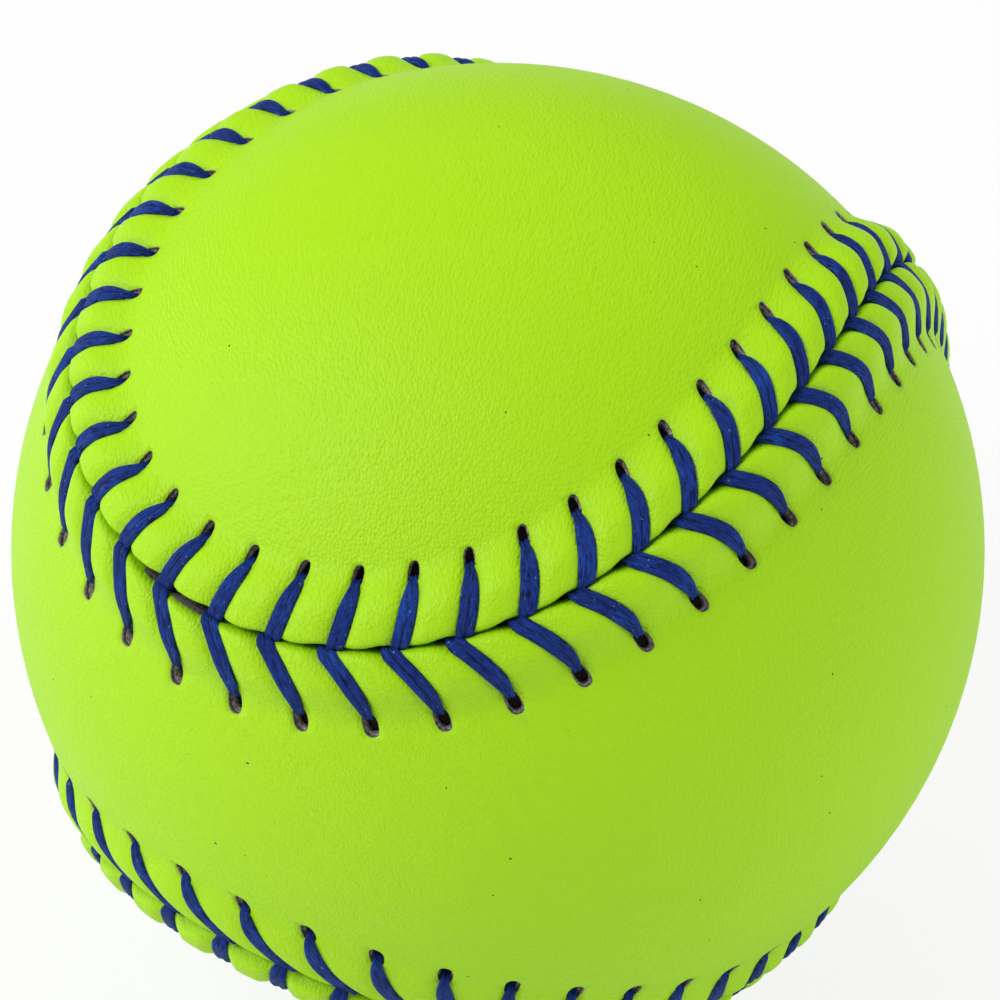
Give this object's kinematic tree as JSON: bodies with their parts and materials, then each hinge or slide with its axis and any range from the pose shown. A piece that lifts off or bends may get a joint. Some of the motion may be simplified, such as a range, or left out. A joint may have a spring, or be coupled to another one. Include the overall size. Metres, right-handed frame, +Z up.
{
  "type": "softball",
  "caption": "Softball with a bright yellow-green two-panel cover, raised rolled seams and blue herringbone stitching, for pitching, batting and fielding",
  "frame": {"origin": "Centre of the ball.", "axes": "+Z runs up through the middle of a lobe of the upper panel, Y runs through the waists of both panels with the upper panel's waist at +Y, and X runs through the lobes of the lower panel."},
  "size_m": [0.096, 0.096, 0.096],
  "materials": {
    "cover_skin": "optic yellow-green synthetic leather, satin, with a fine embossed grain",
    "cover_backing": "grey needle-punched felt, matte and fibrous",
    "thread": "royal blue waxed two-ply thread, flat, with a dull sheen",
    "cement": "dried rubber cement film, dull",
    "core": "moulded polyurethane, matte"
  },
  "bodies": {
    "root": {"upper_panel_skin": "cover_skin", "lower_panel_skin": "cover_skin", "upper_panel_backing": "cover_backing", "lower_panel_backing": "cover_backing", "upper_panel_stitches": "thread", "lower_panel_stitches": "thread", "cement_coat": "cement", "core": "core"}
  },
  "joints": []
}
